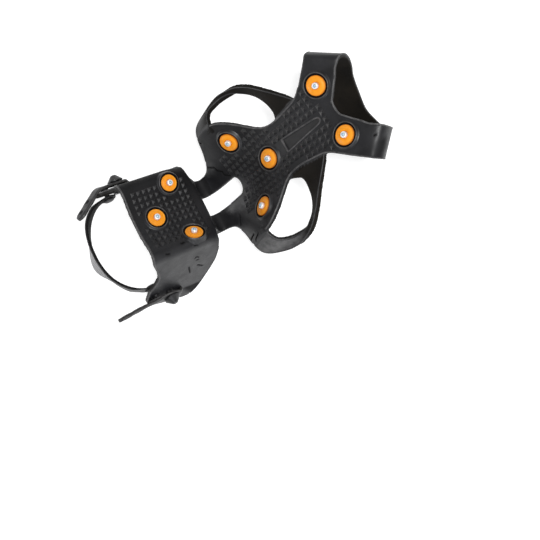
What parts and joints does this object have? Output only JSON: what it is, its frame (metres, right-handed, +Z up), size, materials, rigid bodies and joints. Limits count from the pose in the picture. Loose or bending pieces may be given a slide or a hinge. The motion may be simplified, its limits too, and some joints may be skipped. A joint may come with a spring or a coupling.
{
  "type": "overshoe ice cleat",
  "caption": "Stretch-on rubber ice cleat with a studded sole web, toe band, side loops and a stepped heel piece with wings, a swinging heel strap and buttoned tabs.",
  "frame": {"origin": "centre of the overall box at floor level, on the plane of symmetry", "axes": "+X from heel to toe, +Y to the left side, +Z up out of the studded face"},
  "size_m": [0.2382, 0.1316, 0.0749],
  "materials": {
    "rubber": "matte",
    "knob": "satin",
    "washer": "satin",
    "steel": "satin",
    "tip": "polished"
  },
  "bodies": {
    "forefoot": {"forefoot_body": "rubber", "left_leg": "rubber", "right_leg": "rubber", "toe_left_washer": "washer", "toe_left_stud": "steel", "toe_left_tip": "tip", "toe_right_washer": "washer", "toe_right_stud": "steel", "toe_right_tip": "tip", "mid_washer": "washer", "mid_stud": "steel", "mid_tip": "tip", "ball_left_washer": "washer", "ball_left_stud": "steel", "ball_left_tip": "tip", "ball_right_washer": "washer", "ball_right_stud": "steel", "ball_right_tip": "tip"},
    "heel": {"heel_body": "rubber", "heel_left_washer": "washer", "heel_left_stud": "steel", "heel_left_tip": "tip", "heel_right_washer": "washer", "heel_right_stud": "steel", "heel_right_tip": "tip", "heel_rear_washer": "washer", "heel_rear_stud": "steel", "heel_rear_tip": "tip", "left_pivot": "steel", "right_pivot": "steel", "left_button": "knob", "right_button": "knob", "left_tab": "rubber", "right_tab": "rubber"},
    "strap": {"heel_strap": "rubber"},
    "left_tab_tail": {"left_tab_end": "rubber"},
    "right_tab_tail": {"right_tab_end": "rubber"}
  },
  "joints": [
    {"name": "heel_flex", "type": "hinge", "parent": "forefoot", "child": "heel", "pos_m": [-0.0251, 0, 0.00892], "axis": [0, -1, 0], "range_deg": [-20, 70], "stiffness_Nm_per_rad": 0.6, "deforming": ["left_leg", "right_leg"]},
    {"name": "strap_swing", "type": "hinge", "parent": "heel", "child": "strap", "pos_m": [-0.09199, 0, 0.03642], "axis": [0, 1, 0], "range_deg": [-50, 50]},
    {"name": "left_tab_flex", "type": "hinge", "parent": "heel", "child": "left_tab_tail", "pos_m": [-0.09961, 0.04901, 0.04152], "axis": [-0.6917, 0.2079, -0.6917], "range_deg": [-5, 55], "stiffness_Nm_per_rad": 0.02},
    {"name": "right_tab_flex", "type": "hinge", "parent": "heel", "child": "right_tab_tail", "pos_m": [-0.09961, -0.04901, 0.04152], "axis": [0.6917, 0.2079, 0.6917], "range_deg": [-5, 55], "stiffness_Nm_per_rad": 0.02}
  ]
}
